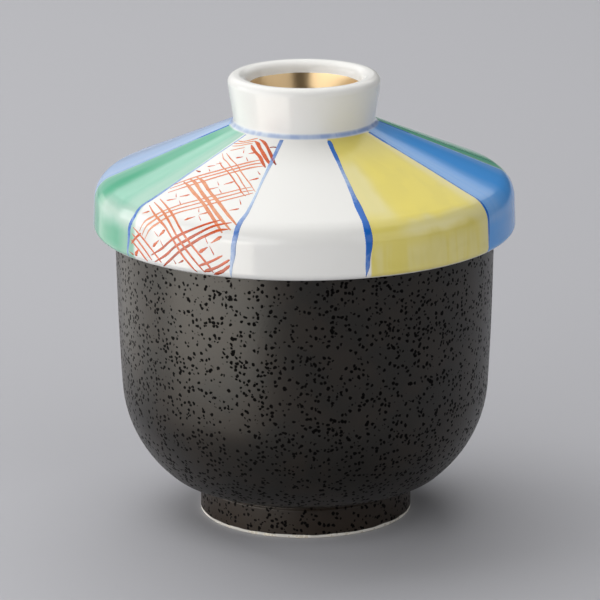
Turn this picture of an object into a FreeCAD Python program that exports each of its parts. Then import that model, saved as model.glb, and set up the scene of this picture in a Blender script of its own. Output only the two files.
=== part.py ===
import FreeCAD, Part
import math
import os
import Sketcher

# Lidded cup for steamed egg custard: a wheel-turned cup on a foot ring and a cap lid
# with a hollow, flared ring for a knob. Millimetres, Z up. The origin is on the axis,
# in the plane that the foot ring stands on.

# Driving dimensions. Each line is alias, value and what it measures.
SIZES = [
    # The cup, from the foot up
    ("foot_radius", 21.5, "outside of the foot ring"),
    ("foot_ridge_height", 5.8, "top edge of the foot ring's side"),
    ("foot_edge_bevel", 0.4, "both bottom edges of the foot ring"),
    ("foot_wall", 3.9, "thickness of the foot ring"),
    ("foot_recess_depth", 4.8, "depth of that hollow"),
    ("groove_depth", 0.35, "turned groove between foot and body, into the foot"),
    ("groove_lip", 0.5, "how far the body starts outside the foot"),
    ("groove_rise", 1.1, "height of the groove"),
    ("belly_radius", 25.0, "curve of the belly"),
    ("belly_sweep", 52.0, "how far that curve runs under, degrees below level"),
    ("belly_top", 27.1, "height where the belly passes into the wall"),
    ("wall_bow", 745.0, "long gentle curve of the wall, upright at the rim"),
    ("rim_radius", 38.2, "outside of the rim"),
    ("rim_height", 66.0, "top of the rim"),
    ("rim_wall", 3.6, "thickness of the wall at the rim"),
    ("rim_bevel", 0.8, "both edges of the rim"),
    ("floor_height", 10.0, "inner floor above the ground"),
    ("floor_inset", 16.6, "inner floor's edge, in from the inner wall"),
    ("bowl_bend_inset", 5.2, "bend of the bowl's side, in from the inner wall"),
    ("bowl_bend_rise", 5.4, "that bend above the inner floor"),
    ("bowl_rise", 17.5, "bowl's side where it meets the inner wall, above the inner floor"),
    # The lid, from its edge up
    ("lid_clearance", 0.6, "gap between rim and skirt, all round"),
    ("lid_overlap", 7.0, "how far the skirt reaches down over the rim"),
    ("skirt_wall", 3.8, "thickness of the skirt at its edge"),
    ("skirt_lean", 2.2, "inward lean of the skirt's outside, degrees"),
    ("skirt_edge_bevel", 1.0, "outer bottom edge of the skirt"),
    ("seat_width", 4.2, "flat ring that sits on the rim"),
    ("shoulder_round", 5.2, "round from the skirt into the cone"),
    ("shoulder_flats", 3, "number of straight flats that this round is cut in"),
    ("cone_slope", 23.0, "slope of the lid's cone, degrees"),
    ("cone_wall", 3.6, "thickness of the cone at the knob"),
    ("cone_rise", 14.9, "height of the knob's root above the rim"),
    ("crown_wall", 4.0, "thickness under the knob's hollow"),
    # The knob, a hollow ring
    ("knob_root_radius", 14.1, "outside of the knob where it meets the cone"),
    ("knob_flare", 8.5, "outward lean of the knob's side, degrees"),
    ("knob_height", 9.7, "height of the knob above its root"),
    ("knob_root_bevel", 0.6, "blend between cone and knob"),
    ("knob_lip_outer", 0.9, "outer edge of the knob's lip"),
    ("knob_lip_inner", 1.4, "inner edge of the knob's lip"),
    ("knob_bore", 11.9, "radius of the knob's hollow at the top"),
    ("knob_bore_lean", 15.0, "lean of the hollow's side, degrees"),
    ("knob_depth", 7.6, "depth of the knob's hollow"),
]

# Sizes that follow from the ones above.
DERIVED = [
    ("foot_recess_radius", "foot_radius - foot_wall"),
    ("groove_radius", "foot_radius - groove_depth"),
    ("groove_height", "foot_ridge_height + groove_rise / 2"),
    ("body_start_radius", "foot_radius + groove_lip"),
    ("body_start_height", "foot_ridge_height + groove_rise"),
    ("wall_fall", "(rim_height - belly_top) / wall_bow"),
    ("wall_reach", "sqrt(1 - wall_fall ^ 2)"),
    ("wall_low_radius", "rim_radius - wall_bow * (1 - wall_reach)"),
    ("belly_centre_radius", "wall_low_radius - belly_radius * wall_reach"),
    ("belly_centre_height", "belly_top + belly_radius * wall_fall"),
    ("belly_low_radius", "belly_centre_radius + belly_radius * cos(belly_sweep)"),
    ("belly_low_height", "belly_centre_height - belly_radius * sin(belly_sweep)"),
    ("rim_bore", "rim_radius - rim_wall"),
    ("floor_radius", "rim_bore - floor_inset"),
    ("bowl_bend_radius", "rim_bore - bowl_bend_inset"),
    ("bowl_bend_height", "floor_height + bowl_bend_rise"),
    ("bowl_top_height", "floor_height + bowl_rise"),
    ("lid_bottom", "rim_height - lid_overlap"),
    ("skirt_bore", "rim_radius + lid_clearance"),
    ("lid_radius", "skirt_bore + skirt_wall"),
    ("seat_bore", "skirt_bore - seat_width"),
    ("skirt_angle", "90 + skirt_lean"),
    ("cone_angle", "180 - cone_slope"),
    ("knob_root_height", "rim_height + cone_rise"),
    ("knob_top", "knob_root_height + knob_height"),
    ("knob_lip_radius", "knob_root_radius + knob_height * tan(knob_flare)"),
    ("knob_floor", "knob_top - knob_depth"),
    ("knob_floor_radius", "knob_bore - knob_depth * tan(knob_bore_lean)"),
    ("ceiling_top", "knob_floor - crown_wall"),
    ("ceiling_below_root", "knob_root_height - cone_wall / cos(cone_slope)"),
    ("ceiling_rate", "(ceiling_below_root - rim_height) / (seat_bore - knob_root_radius)"),
    ("crown_radius", "knob_root_radius - (ceiling_top - ceiling_below_root) / ceiling_rate"),
]

# How a sketch numbers the two ends of an edge, and its own origin and vertical axis
START, END = range(1, 3)
ORIGIN, VERTICAL_AXIS = range(-1, -3, -1)
EDGE_TOLERANCE = 0.01

doc = FreeCAD.newDocument("lidded_cup")
sheet = doc.addObject("Spreadsheet::Sheet", "Sizes")


def fill_sheet():
    """Write the driving and the derived sizes into the spreadsheet."""
    row = 1
    for alias, value, meaning in SIZES:
        sheet.set("A%d" % row, meaning)
        sheet.set("B%d" % row, str(value))
        sheet.setAlias("B%d" % row, alias)
        row += 1
    for alias, formula in DERIVED:
        sheet.set("A%d" % row, alias.replace("_", " "))
        sheet.set("B%d" % row, "=" + formula)
        sheet.setAlias("B%d" % row, alias)
        row += 1
    doc.recompute()


def size(alias):
    """The current value of one size."""
    return float(getattr(sheet, alias))


def point(radius, height):
    """A point of a half section: distance from the axis and height."""
    return FreeCAD.Vector(radius, height, 0.0)


def new_body(name):
    """An empty body whose label names its file."""
    body = doc.addObject("PartDesign::Body", name)
    body.Label = name
    return body


def new_sketch(body, name):
    """A sketch in the upright plane through the body's axis."""
    sketch = body.newObject("Sketcher::SketchObject", name)
    plane = [item for item in body.Origin.OriginFeatures if item.Role == "XZ_Plane"][0]
    sketch.AttachmentSupport = [(plane, "")]
    sketch.MapMode = "FlatFace"
    return sketch


def bind(sketch, kind, targets, alias, start_value):
    """Add one dimension and tie it to a size of the sheet."""
    index = sketch.addConstraint(Sketcher.Constraint(kind, *targets, start_value))
    sketch.setExpression("Constraints[%d]" % index, "Sizes." + alias)


def place(sketch, edge, end, radius_alias, height_alias):
    """Fix the end of an edge at a radius and a height."""
    if radius_alias:
        bind(sketch, "DistanceX", (ORIGIN, START, edge, end), radius_alias, size(radius_alias))
    if height_alias:
        bind(sketch, "DistanceY", (ORIGIN, START, edge, end), height_alias, size(height_alias))


def polygon(sketch, corners):
    """Draw a closed outline of straight edges, whose last edge lies on the axis."""
    count = len(corners)
    for index in range(count):
        line = Part.LineSegment(corners[index], corners[(index + 1) % count])
        sketch.addGeometry(line, False)
    for index in range(count):
        following = (index + 1) % count
        sketch.addConstraint(Sketcher.Constraint("Coincident", index, END, following, START))
    if corners[0].Length > 0:
        sketch.addConstraint(Sketcher.Constraint("PointOnObject", 0, START, VERTICAL_AXIS))
    else:
        sketch.addConstraint(Sketcher.Constraint("Coincident", 0, START, ORIGIN, START))
    sketch.addConstraint(Sketcher.Constraint("Vertical", count - 1))


def lay(sketch, kind, edges):
    """Make the listed edges horizontal or vertical."""
    for edge in edges:
        sketch.addConstraint(Sketcher.Constraint(kind, edge))


def arc(centre, radius, first, last):
    """A counterclockwise arc between two points of a circle."""
    begin = math.atan2(first.y - centre.y, first.x - centre.x)
    finish = math.atan2(last.y - centre.y, last.x - centre.x)
    if finish < begin:
        finish += 2 * math.pi
    return Part.ArcOfCircle(Part.Circle(centre, FreeCAD.Vector(0, 0, 1), radius), begin, finish)


def draw(sketch, edge):
    """Add one edge to the sketch and return its number."""
    return sketch.addGeometry(edge, False)


def flats(sketch, centre, radius, first, last, count):
    """A construction arc and equal straight flats whose corners all lie on it."""
    guide = sketch.addGeometry(arc(centre, radius, first, last), True)
    begin = math.atan2(first.y - centre.y, first.x - centre.x)
    sweep = math.atan2(last.y - centre.y, last.x - centre.x) - begin
    corners = []
    for index in range(count + 1):
        angle = begin + sweep * index / count
        corners.append(centre + point(radius * math.cos(angle), radius * math.sin(angle)))
    edges = [draw(sketch, Part.LineSegment(corners[index], corners[index + 1])) for index in range(count)]
    sketch.addConstraint(Sketcher.Constraint("Coincident", guide, START, edges[0], START))
    sketch.addConstraint(Sketcher.Constraint("Coincident", guide, END, edges[-1], END))
    for index in range(1, count):
        sketch.addConstraint(Sketcher.Constraint("Coincident", edges[index - 1], END, edges[index], START))
        sketch.addConstraint(Sketcher.Constraint("PointOnObject", edges[index], START, guide))
        sketch.addConstraint(Sketcher.Constraint("Equal", edges[index - 1], edges[index]))
    return guide, edges


def join(sketch, joints):
    """Join the ends of edges, plainly or tangentially."""
    for joint in joints:
        sketch.addConstraint(Sketcher.Constraint(*joint))


def bind_angle(sketch, edge, alias, start_value):
    """Tie an edge's angle to a size in degrees."""
    index = sketch.addConstraint(Sketcher.Constraint("Angle", edge, math.radians(start_value)))
    sketch.setExpression("Constraints[%d]" % index, "Sizes." + alias + " * 1 deg")


def turn(body, sketch, name, kind):
    """Turn a sketch round the axis, as added or removed material."""
    before = 0.0
    if kind == "PartDesign::Groove":
        before = body.Shape.Volume
    feature = body.newObject(kind, name)
    feature.Profile = sketch
    feature.ReferenceAxis = (sketch, ["V_Axis"])
    feature.Angle = 360.0
    doc.recompute()
    if kind == "PartDesign::Groove" and not body.Shape.Volume < before - 1.0:
        raise RuntimeError("the groove " + name + " removed nothing")
    return feature


def circle_edges(shape, radius, height):
    """Names of the circular edges with this radius at this height."""
    found = []
    for number, edge in enumerate(shape.Edges, 1):
        if not isinstance(edge.Curve, Part.Circle):
            continue
        same_radius = abs(edge.Curve.Radius - radius) < EDGE_TOLERANCE
        same_height = abs(edge.Curve.Center.z - height) < EDGE_TOLERANCE
        if same_radius and same_height:
            found.append("Edge%d" % number)
    return found


def bevel(body, name, alias, circles):
    """Bevel the edges that lie on the given circles of radius and height."""
    base = body.Tip
    names = []
    for radius_alias, height_alias in circles:
        found = circle_edges(base.Shape, size(radius_alias), size(height_alias) if height_alias else 0.0)
        if not found:
            raise RuntimeError("no edge for " + name)
        names.extend(found)
    chamfer = body.newObject("PartDesign::Chamfer", name)
    chamfer.Base = (base, names)
    chamfer.Size = size(alias)
    chamfer.setExpression("Size", "Sizes." + alias)
    doc.recompute()
    return chamfer


def cup_outside(body):
    """Section of the cup's outside: foot, groove, underside, belly and wall."""
    sketch = new_sketch(body, "cup_outside_section")
    foot_low = point(size("foot_radius"), 0.0)
    foot_top = point(size("foot_radius"), size("foot_ridge_height"))
    groove_bottom = point(size("groove_radius"), size("groove_height"))
    start = point(size("body_start_radius"), size("body_start_height"))
    belly_low = point(size("belly_low_radius"), size("belly_low_height"))
    belly_centre = point(size("belly_centre_radius"), size("belly_centre_height"))
    wall_low = point(size("wall_low_radius"), size("belly_top"))
    wall_centre = point(size("rim_radius") - size("wall_bow"), size("rim_height"))
    rim = point(size("rim_radius"), size("rim_height"))

    bottom = draw(sketch, Part.LineSegment(point(0, 0), foot_low))
    side = draw(sketch, Part.LineSegment(foot_low, foot_top))
    groove_low = draw(sketch, Part.LineSegment(foot_top, groove_bottom))
    groove_high = draw(sketch, Part.LineSegment(groove_bottom, start))
    under = draw(sketch, Part.LineSegment(start, belly_low))
    belly = draw(sketch, arc(belly_centre, size("belly_radius"), belly_low, wall_low))
    wall = draw(sketch, arc(wall_centre, size("wall_bow"), wall_low, rim))
    top = draw(sketch, Part.LineSegment(rim, point(0, rim.y)))
    axis = draw(sketch, Part.LineSegment(point(0, rim.y), point(0, 0)))
    join(sketch, [
        ("Coincident", bottom, END, side, START),
        ("Coincident", side, END, groove_low, START),
        ("Coincident", groove_low, END, groove_high, START),
        ("Coincident", groove_high, END, under, START),
        ("Coincident", under, END, belly, START),
        ("Tangent", belly, END, wall, START),
        ("Perpendicular", wall, END, top, START),
        ("Coincident", top, END, axis, START),
        ("Coincident", axis, END, bottom, START),
        ("Coincident", bottom, START, ORIGIN, START),
    ])
    lay(sketch, "Horizontal", [bottom, top])
    lay(sketch, "Vertical", [side, axis])
    place(sketch, side, END, "foot_radius", "foot_ridge_height")
    place(sketch, groove_low, END, "groove_radius", "groove_height")
    place(sketch, under, START, "body_start_radius", "body_start_height")
    place(sketch, under, END, "belly_low_radius", "belly_low_height")
    place(sketch, belly, END, None, "belly_top")
    place(sketch, wall, END, "rim_radius", "rim_height")
    bind(sketch, "Radius", (wall,), "wall_bow", size("wall_bow"))
    doc.recompute()
    return sketch


def cup_inside(body):
    """Section of the space that holds the custard: floor, bowl and straight wall."""
    sketch = new_sketch(body, "cup_inside_section")
    polygon(sketch, [
        point(0, size("floor_height")),
        point(size("floor_radius"), size("floor_height")),
        point(size("bowl_bend_radius"), size("bowl_bend_height")),
        point(size("rim_bore"), size("bowl_top_height")),
        point(size("rim_bore"), size("rim_height")),
        point(0, size("rim_height")),
    ])
    lay(sketch, "Horizontal", [0, 4])
    lay(sketch, "Vertical", [3])
    place(sketch, 0, END, "floor_radius", "floor_height")
    place(sketch, 1, END, "bowl_bend_radius", "bowl_bend_height")
    place(sketch, 2, END, "rim_bore", "bowl_top_height")
    place(sketch, 3, END, None, "rim_height")
    doc.recompute()
    return sketch


def foot_inside(body):
    """Section of the hollow that leaves the foot ring standing."""
    sketch = new_sketch(body, "foot_recess_section")
    polygon(sketch, [
        point(0, 0),
        point(size("foot_recess_radius"), 0),
        point(size("foot_recess_radius"), size("foot_recess_depth")),
        point(0, size("foot_recess_depth")),
    ])
    lay(sketch, "Horizontal", [0, 2])
    lay(sketch, "Vertical", [1])
    place(sketch, 0, END, "foot_recess_radius", None)
    place(sketch, 1, END, None, "foot_recess_depth")
    doc.recompute()
    return sketch


def make_cup():
    """The cup: turned outside, hollowed inside and under the foot, edges bevelled."""
    body = new_body("cup")
    turn(body, cup_outside(body), "cup_outside", "PartDesign::Revolution")
    turn(body, cup_inside(body), "cup_inside", "PartDesign::Groove")
    turn(body, foot_inside(body), "foot_recess", "PartDesign::Groove")
    bevel(body, "rim_edges", "rim_bevel", [("rim_radius", "rim_height"), ("rim_bore", "rim_height")])
    bevel(body, "foot_edges", "foot_edge_bevel", [("foot_radius", None), ("foot_recess_radius", None)])
    return body


def lid_outside(body):
    """Section of the lid's outside: edge, skirt, shoulder, cone and the knob's side."""
    sketch = new_sketch(body, "lid_outside_section")
    edge_point = point(size("lid_radius"), size("lid_bottom"))
    root = point(size("knob_root_radius"), size("knob_root_height"))
    lip = point(size("knob_lip_radius"), size("knob_top"))
    up = math.radians(size("skirt_angle"))
    skirt_way = point(math.cos(up), math.sin(up))
    fall = math.radians(-size("cone_slope"))
    cone_way = point(math.cos(fall), math.sin(fall))

    # The corner where skirt and cone would meet, and the round that replaces it
    reach = root - edge_point
    cross = skirt_way.x * cone_way.y - skirt_way.y * cone_way.x
    rise = (reach.x * cone_way.y - reach.y * cone_way.x) / cross
    corner = edge_point + skirt_way * rise
    turning = math.pi - up + fall
    length = size("shoulder_round") * math.tan(turning / 2)
    shoulder_low = corner - skirt_way * length
    shoulder_high = corner - cone_way * length
    inward = point(-skirt_way.y, skirt_way.x)
    shoulder_centre = shoulder_low + inward * size("shoulder_round")

    bottom = draw(sketch, Part.LineSegment(point(0, edge_point.y), edge_point))
    skirt = draw(sketch, Part.LineSegment(edge_point, shoulder_low))
    shoulder, shoulder_flats = flats(sketch, shoulder_centre, size("shoulder_round"),
                                     shoulder_low, shoulder_high, round(size("shoulder_flats")))
    cone = draw(sketch, Part.LineSegment(shoulder_high, root))
    knob = draw(sketch, Part.LineSegment(root, lip))
    top = draw(sketch, Part.LineSegment(lip, point(0, lip.y)))
    axis = draw(sketch, Part.LineSegment(point(0, lip.y), point(0, edge_point.y)))
    join(sketch, [
        ("Coincident", bottom, END, skirt, START),
        ("Tangent", skirt, END, shoulder, START),
        ("Tangent", shoulder, END, cone, START),
        ("Coincident", cone, END, knob, START),
        ("Coincident", knob, END, top, START),
        ("Coincident", top, END, axis, START),
        ("Coincident", axis, END, bottom, START),
        ("PointOnObject", bottom, START, VERTICAL_AXIS),
    ])
    lay(sketch, "Horizontal", [bottom, top])
    lay(sketch, "Vertical", [axis])
    place(sketch, bottom, END, "lid_radius", "lid_bottom")
    place(sketch, cone, END, "knob_root_radius", "knob_root_height")
    place(sketch, knob, END, "knob_lip_radius", "knob_top")
    bind(sketch, "Radius", (shoulder,), "shoulder_round", size("shoulder_round"))
    bind_angle(sketch, skirt, "skirt_angle", size("skirt_angle"))
    bind_angle(sketch, cone, "cone_angle", size("cone_angle"))
    doc.recompute()
    return sketch


def lid_inside(body):
    """Section of the space under the lid, with the flat ring that sits on the rim."""
    sketch = new_sketch(body, "lid_inside_section")
    polygon(sketch, [
        point(0, size("lid_bottom")),
        point(size("skirt_bore"), size("lid_bottom")),
        point(size("skirt_bore"), size("rim_height")),
        point(size("seat_bore"), size("rim_height")),
        point(size("crown_radius"), size("ceiling_top")),
        point(0, size("ceiling_top")),
    ])
    lay(sketch, "Horizontal", [0, 2, 4])
    lay(sketch, "Vertical", [1])
    place(sketch, 0, END, "skirt_bore", "lid_bottom")
    place(sketch, 2, END, "seat_bore", "rim_height")
    place(sketch, 3, END, "crown_radius", "ceiling_top")
    doc.recompute()
    return sketch


def knob_inside(body):
    """Section of the hollow in the knob."""
    sketch = new_sketch(body, "knob_hollow_section")
    polygon(sketch, [
        point(0, size("knob_floor")),
        point(size("knob_floor_radius"), size("knob_floor")),
        point(size("knob_bore"), size("knob_top")),
        point(0, size("knob_top")),
    ])
    lay(sketch, "Horizontal", [0, 2])
    place(sketch, 0, END, "knob_floor_radius", "knob_floor")
    place(sketch, 1, END, "knob_bore", "knob_top")
    doc.recompute()
    return sketch


def make_lid():
    """The lid: turned outside, hollowed below, with a hollow ring for a knob."""
    body = new_body("lid")
    turn(body, lid_outside(body), "lid_outside", "PartDesign::Revolution")
    turn(body, lid_inside(body), "lid_inside", "PartDesign::Groove")
    turn(body, knob_inside(body), "knob_hollow", "PartDesign::Groove")
    bevel(body, "knob_root", "knob_root_bevel", [("knob_root_radius", "knob_root_height")])
    bevel(body, "knob_lip_outside", "knob_lip_outer", [("knob_lip_radius", "knob_top")])
    bevel(body, "knob_lip_inside", "knob_lip_inner", [("knob_bore", "knob_top")])
    bevel(body, "skirt_edge", "skirt_edge_bevel", [("lid_radius", "lid_bottom")])
    return body


def check_document():
    """Stop if any object of the document failed to compute."""
    for item in doc.Objects:
        if "Invalid" in item.State or "Error" in item.State:
            raise RuntimeError("failed object: " + item.Name + " " + str(item.State))


def check_body(body):
    """Stop if a body isn't one sound solid."""
    shape = body.Shape
    if shape.isNull() or not shape.isValid():
        raise RuntimeError("bad shape: " + body.Label)
    if len(shape.Solids) != 1:
        raise RuntimeError("not one solid: " + body.Label)


fill_sheet()
bodies = [make_cup(), make_lid()]
doc.recompute()
check_document()
os.makedirs("parts", exist_ok=True)
for piece in bodies:
    check_body(piece)
    box = piece.Shape.BoundBox
    print(piece.Label, "volume %.0f" % piece.Shape.Volume, "height %.2f to %.2f" % (box.ZMin, box.ZMax))
for piece in bodies:
    piece.Shape.exportStep("parts/" + piece.Label + ".step")
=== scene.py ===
import math
import random

import bpy
from mathutils import Matrix, Vector


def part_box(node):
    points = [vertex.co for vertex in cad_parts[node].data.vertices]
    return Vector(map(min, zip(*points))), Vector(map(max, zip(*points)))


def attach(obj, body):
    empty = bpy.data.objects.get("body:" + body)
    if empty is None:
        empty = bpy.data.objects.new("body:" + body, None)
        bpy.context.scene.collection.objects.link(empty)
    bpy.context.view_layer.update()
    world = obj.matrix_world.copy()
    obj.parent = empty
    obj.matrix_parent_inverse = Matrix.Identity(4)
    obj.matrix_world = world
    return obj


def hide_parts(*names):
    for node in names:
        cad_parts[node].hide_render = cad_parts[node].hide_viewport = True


# A lidded cup for steamed egg custard: a dark speckled cup and a white cap lid that is
# painted in coloured panels. Metres, Z up, the axis of turning is the Z axis.

bl_info = {
    "name": "Lidded steaming cup",
    "version": (1, 0, 0),
    "blender": (4, 5, 0),
    "location": "View3D > Sidebar > Cup",
    "description": "Glazed cup and painted lid, turned round their packed solids",
    "category": "Object",
}

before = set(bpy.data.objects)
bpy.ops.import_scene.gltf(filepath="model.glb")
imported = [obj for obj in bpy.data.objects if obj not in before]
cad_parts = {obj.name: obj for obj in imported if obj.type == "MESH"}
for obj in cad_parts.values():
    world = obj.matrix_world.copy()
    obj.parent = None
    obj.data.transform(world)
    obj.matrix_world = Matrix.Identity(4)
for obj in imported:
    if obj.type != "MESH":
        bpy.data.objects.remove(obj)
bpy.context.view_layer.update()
CUP_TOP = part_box("cup")[1].z
LID_LOW, LID_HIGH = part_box("lid")

MM = 0.001


def linear(hex_colour):
    """Linear RGBA of an sRGB hex colour."""
    values = [int(hex_colour[index:index + 2], 16) / 255 for index in (1, 3, 5)]
    mixed = [value / 12.92 if value <= 0.04045 else ((value + 0.055) / 1.055) ** 2.4 for value in values]
    return (*mixed, 1.0)


def colour_setting(name, hex_colour, description):
    """A colour that the user may change."""
    return bpy.props.FloatVectorProperty(
        name=name, description=description, subtype="COLOR", size=4, min=0.0, max=1.0,
        default=linear(hex_colour))


def length_setting(name, millimetres, description):
    """A length that the user may change, kept in metres."""
    return bpy.props.FloatProperty(
        name=name, description=description, unit="LENGTH", min=0.0, precision=5,
        default=millimetres * MM)


def power_setting(name, watts, description):
    """The power of a lamp that the user may change."""
    return bpy.props.FloatProperty(name=name, description=description, unit="POWER", min=0.0, default=watts)


class CupSettings(bpy.types.PropertyGroup):
    """Soft edges and glaze of the cup."""
    rim_round: length_setting("Rim round", 1.05, "Round on both edges of the rim")
    foot_outer_round: length_setting("Foot outer round", 0.4, "Outer bottom edge of the foot ring")
    foot_inner_round: length_setting("Foot inner round", 0.7, "Inner bottom edge of the foot ring")
    groove_round: length_setting("Groove round", 0.25, "Round in and beside the turned groove")
    base_blend: length_setting("Base blend", 6.5, "Curve from the underside into the belly")
    bare_band: length_setting("Bare band", 0.75, "Unglazed height at the bottom of the foot")
    speckle: length_setting("Speckle spacing", 0.85, "Mean distance between two iron spots")
    glaze: colour_setting("Iron glaze", "#130f08", "Brown-black glaze between the spots")
    spot: colour_setting("Iron spot", "#080707", "Matt spots where iron has come out of the glaze")
    thin_glaze: colour_setting("Thin glaze", "#2a1f14", "The same glaze where it is thin, on the foot")
    clay: colour_setting("Bare clay", "#e4e0d8", "Fired clay of the foot's bottom edge")


class LidSettings(bpy.types.PropertyGroup):
    """Soft edges and painting of the lid."""
    skirt_outer_round: length_setting("Skirt outer round", 1.5, "Outer bottom edge of the skirt")
    skirt_inner_round: length_setting("Skirt inner round", 0.8, "Inner bottom edge of the skirt")
    shoulder_round: length_setting("Shoulder round", 5.2, "Round from the skirt into the cone")
    neck_round: length_setting("Neck round", 1.2, "Blend between the cone and the knob")
    lip_outer_round: length_setting("Lip outer round", 1.5, "Outer round of the knob's lip")
    lip_inner_round: length_setting("Lip inner round", 2.0, "Inner round of the knob's lip")
    white: colour_setting("White porcelain", "#f4f3ef", "Body under a clear glaze")
    green: colour_setting("Green wash", "#88c6ad", "Thin green overglaze enamel")
    green_deep: colour_setting("Green stroke", "#2aa87c", "The same enamel where the brush was full")
    yellow: colour_setting("Yellow wash", "#ecdd78", "Yellow overglaze enamel")
    yellow_rich: colour_setting("Yellow body", "#f2e060", "The same enamel in its full middle")
    # The pale yellow is also laid across the lid's shoulder as a painted highlight
    yellow_thin_and_highlight: colour_setting("Thin yellow", "#efe8b8", "The same enamel where it ran thin")
    yellow_deep: colour_setting("Yellow pool", "#e2d266", "The same enamel where it pooled")
    blue: colour_setting("Blue wash", "#80b2ec", "Thin blue overglaze enamel")
    blue_deep: colour_setting("Blue stroke", "#489eec", "The same enamel where the brush was full")
    line_blue: colour_setting("Blue line", "#1668c4", "Cobalt line, full brush")
    line_blue_pale: colour_setting("Pale blue line", "#c9daee", "Cobalt line, nearly dry brush")
    red: colour_setting("Iron red", "#d8591f", "Iron red enamel of the lattice")
    red_pale: colour_setting("Pale iron red", "#eaa87f", "The same enamel where it is thin")
    red_deep: colour_setting("Deep iron red", "#8a2614", "The same enamel where it pooled")
    gold: colour_setting("Gold lustre", "#d2b68c", "Fired gold in the knob's hollow")


class StageSettings(bpy.types.PropertyGroup):
    """Floor and light of the studio."""
    floor: colour_setting("Floor", "#bababe", "Plain pale paper that the cup stands on")
    side_light: power_setting("Side light", 10.4, "Large soft box at the left")
    top_light: power_setting("Top light", 17.0, "Soft box above and behind")
    fill_light: power_setting("Fill light", 3.3, "Weak soft box at the right")
    front_light: power_setting("Front light", 3.5, "Weak soft box above the camera")
    back_light: power_setting("Backdrop", 4.4, "Pale sheet behind, seen only as a reflection")
    card_light: power_setting("Card light", 0.094, "Low card, seen only as a reflection")
    sky: bpy.props.FloatProperty(
        name="Room light", description="Strength of the even light all round", min=0.0, default=0.04)


# Sizes of the two solids, millimetres from the axis and from the ground. A third figure is a corner's round
RIM_RADIUS = 38.2
RIM_HEIGHT = CUP_TOP / MM
BORE_RADIUS = 34.6
BOWL_TOP = (34.6, 27.5, 16.0)
BOWL_BEND = (29.4, 15.4, 13.0)
FLOOR_EDGE = (18.0, 10.0, 13.0)
FOOT_RADIUS = 21.5
FOOT_RIDGE = 5.8
GROOVE = (21.15, 6.35)
BODY_START = (22.0, 6.9)
RECESS_EDGE = (17.6, 4.8, 1.4)
UNDER_SLOPE = math.radians(16)
BELLY_CENTRE = Vector((12.2, 28.4))
BELLY_RADIUS = 25.0
BELLY_TOP = 27.1
WALL_BOW = 745.0
LID_BOTTOM = LID_LOW.z / MM
LID_TOP = LID_HIGH.z / MM
# The outside of the skirt lies a hair inside the solid, so that nothing stands proud of it
LID_RADIUS = 42.5
SKIRT_LEAN = math.radians(2.2)
CONE_SLOPE = math.radians(23)
NECK = (14.1, 80.9)
LIP_RADIUS = 15.55
HOLLOW_TOP_RADIUS = 11.9
HOLLOW_FLOOR = (9.86, 83.0, 3.5)
SEAT_EDGE = (34.6, RIM_HEIGHT, 1.0)
SEAT_CORNER = (38.8, RIM_HEIGHT, 0.8)
CEILING_EDGE = (10.35, 79.0, 8.0)
# Heights on the cup's foot and in the knob where the glaze or the gold changes
THIN_GLAZE_TOP = 6.6
GILT_TOP = 88.2
# The coloured panels on the lid: both sides in degrees from the front. Run at which the painting ends
PANELS = {"green": (-85.6, -52.0), "yellow": (17.5, 58.2), "blue": (58.4, 94.4)}
PAINT_END = 39.3

# How fine the outlines are: degrees for each piece of a round, and pieces of the three long arcs
ROUND_STEP = 5.0
LID_ROUND_STEP = 4.0
BLEND_PIECES = 6
BELLY_PIECES = 24
WALL_PIECES = 12
LONGEST_PIECE = 2.5
SIDES = 288


def rounded(corners, step=ROUND_STEP):
    """Points of a path with its corners rounded, and the number of each corner's middle point."""
    points = [Vector(corners[0][:2])]
    middles = [0]
    for before, corner, after in zip(corners, corners[1:], corners[2:]):
        here = Vector(corner[:2])
        back = (Vector(before[:2]) - here).normalized()
        ahead = (Vector(after[:2]) - here).normalized()
        half = back.angle(ahead) / 2
        radius = corner[2]
        if radius == 0:
            middles.append(len(points))
            points.append(here)
            continue
        centre = here + (back + ahead).normalized() * (radius / math.sin(half))
        first = (here + back * radius / math.tan(half) - centre).normalized()
        last = (here + ahead * radius / math.tan(half) - centre).normalized()
        turning = math.degrees(math.pi - 2 * half)
        pieces = 2 * max(1, math.ceil(turning / step / 2))
        middles.append(len(points) + pieces // 2)
        for index in range(pieces + 1):
            points.append(centre + first.slerp(last, index / pieces) * radius)
    middles.append(len(points))
    points.append(Vector(corners[-1][:2]))
    return points, middles


def curved(centre, radius, first, last, count):
    """Points along an arc between two points of a circle."""
    begin = (first - centre).normalized()
    finish = (last - centre).normalized()
    return [centre + begin.slerp(finish, index / count) * radius for index in range(count + 1)]


def filled(points):
    """The same path with more points on its long straight runs."""
    result = [points[0]]
    for before, after in zip(points, points[1:]):
        pieces = max(1, math.ceil((after - before).length / LONGEST_PIECE))
        for index in range(1, pieces + 1):
            result.append(before.lerp(after, index / pieces))
    return result


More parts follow.
